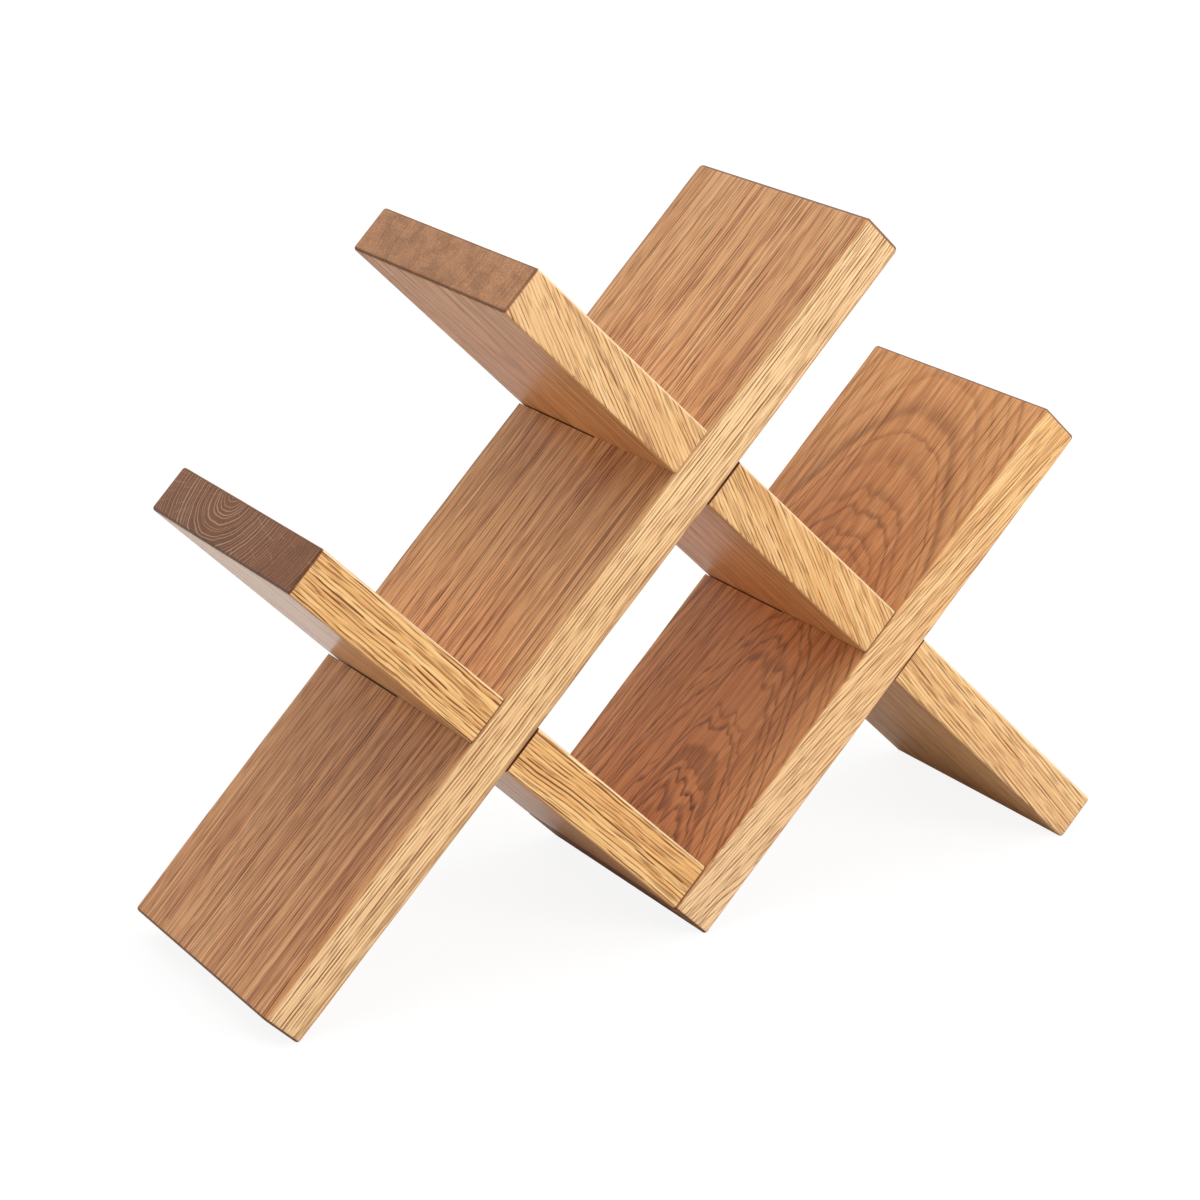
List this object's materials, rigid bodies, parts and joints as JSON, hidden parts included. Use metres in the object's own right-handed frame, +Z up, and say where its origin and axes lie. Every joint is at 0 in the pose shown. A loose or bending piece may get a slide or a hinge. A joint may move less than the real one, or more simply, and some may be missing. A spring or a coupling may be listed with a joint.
{
  "type": "wine rack",
  "caption": "Small free-standing wine rack of solid oak boards crossed at 45 degrees on halving joints, with open cradles and a closed cell that hold bottles lying down.",
  "frame": {"origin": "on the floor, midway between the outermost feet and between front and back edges, on the middle foot", "axes": "+X to the right along the rack's length, +Y from the front edges to the back edges, +Z up"},
  "size_m": [0.375, 0.114, 0.2717],
  "materials": {
    "oak": "clear satin oil on solid oak",
    "dowel_beech": "bare fluted beech, hidden"
  },
  "bodies": {
    "root": {"long_rising_board": "oak", "short_rising_board": "oak", "long_falling_board": "oak", "short_falling_board": "oak", "corner_dowel_front": "dowel_beech", "corner_dowel_middle": "dowel_beech", "corner_dowel_back": "dowel_beech"}
  },
  "joints": []
}
